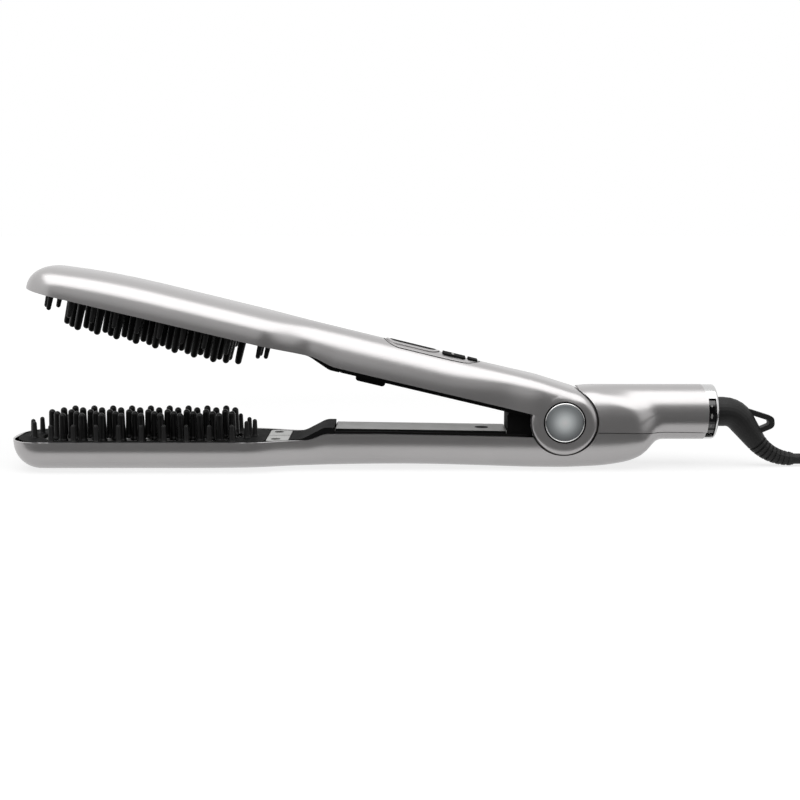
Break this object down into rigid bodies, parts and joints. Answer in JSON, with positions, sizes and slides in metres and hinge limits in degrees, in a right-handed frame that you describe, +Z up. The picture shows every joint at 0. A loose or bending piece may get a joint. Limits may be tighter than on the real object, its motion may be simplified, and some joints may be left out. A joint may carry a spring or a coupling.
{
  "type": "steam hair straightener brush",
  "caption": "Two-arm steam hair straightening brush with bristled heads, spring hinge, water tank, control keys, swivel cord and two-pin plug.",
  "frame": {"origin": "on the surface the brush rests on, under the middle of the brush without its free cord", "axes": "+X towards the cord end, +Y to the side, +Z up; the noses point to -X"},
  "size_m": [0.5629, 0.0468, 0.0973],
  "materials": {
    "casing": "satin silver-grey moulded plastic",
    "black_plastic": "matt black moulded plastic",
    "bristle": "black heat-proof nylon",
    "plate": "satin coated aluminium",
    "panel": "satin light grey plastic",
    "chrome": "satin chrome plated",
    "steel": "plain steel",
    "key": "silver painted key",
    "rubber": "soft black rubber",
    "cord": "black flexible cord jacket",
    "board": "green circuit board",
    "heater": "ceramic heater",
    "clear": "translucent tank plastic",
    "brass": "brass"
  },
  "bodies": {
    "base": {"lower_casing": "casing", "rear_cover": "casing", "end_cap": "chrome", "lower_liner": "black_plastic", "ramp_cover": "black_plastic", "lower_bristle_frame": "black_plastic", "lower_heater_plate": "plate", "lower_plate_tabs": "panel", "lower_bristles": "bristle", "lower_edge_bristles": "bristle", "lower_heater_element": "heater", "steam_chamber": "plate", "steam_tube": "rubber", "water_pump": "black_plastic", "water_tank": "clear", "tank_lid": "panel", "hinge_block": "black_plastic", "hinge_bushes": "brass", "main_board": "board", "swivel_socket": "black_plastic", "cord_tube": "cord", "cord_hank": "cord", "cord_tie": "black_plastic", "plug_body": "rubber", "plug_pins": "brass"},
    "upper_arm": {"upper_casing": "casing", "upper_liner": "black_plastic", "upper_ramp": "black_plastic", "closing_bumper": "rubber", "upper_bristle_frame": "black_plastic", "upper_heater_plate": "plate", "upper_plate_tabs": "panel", "upper_bristles": "bristle", "upper_edge_bristles": "bristle", "upper_heater_element": "heater", "hinge_pin": "steel", "hinge_caps": "chrome", "opening_spring": "steel", "control_bezel": "black_plastic", "control_board": "board", "key_switches": "black_plastic", "rocker_axle": "steel"},
    "temperature_key": {"temperature_rocker": "key"},
    "steam_key": {"steam_button": "black_plastic"},
    "power_key": {"power_button": "black_plastic"},
    "dial": {"dial_ring": "black_plastic"},
    "tank_plug": {"fill_plug": "rubber"},
    "cord_swivel": {"cord_gland": "rubber", "strain_relief": "rubber"}
  },
  "joints": [
    {"name": "arm_hinge", "type": "hinge", "parent": "base", "child": "upper_arm", "pos_m": [0.0733, 0, 0.0231], "axis": [0, -1, 0], "range_deg": [0, 12.6], "stiffness_Nm_per_rad": 1.2, "springref_deg": -20.05},
    {"name": "temperature_key_rock", "type": "hinge", "parent": "upper_arm", "child": "temperature_key", "pos_m": [0.00312, 0, 0.05431], "axis": [0, 1, 0], "range_deg": [-2, 2], "stiffness_Nm_per_rad": 0.05},
    {"name": "steam_button_press", "type": "slide", "parent": "upper_arm", "child": "steam_key", "axis": [-0.2317, 0, -0.9728], "range_m": [0, 0.0008], "stiffness_N_per_m": 1500},
    {"name": "power_button_press", "type": "slide", "parent": "upper_arm", "child": "power_key", "axis": [-0.2317, 0, -0.9728], "range_m": [0, 0.0008], "stiffness_N_per_m": 1500},
    {"name": "temperature_dial_turn", "type": "hinge", "parent": "base", "child": "dial", "pos_m": [0.1398, 0, 0.0259], "axis": [1, 0, 0], "range_deg": [-60, 60]},
    {"name": "fill_plug_lift", "type": "slide", "parent": "base", "child": "tank_plug", "axis": [0, 0, 1], "range_m": [0, 0.0022]},
    {"name": "cord_swivel_turn", "type": "hinge", "parent": "base", "child": "cord_swivel", "pos_m": [0.1448, 0, 0.0259], "axis": [1, 0, 0], "continuous": true}
  ]
}
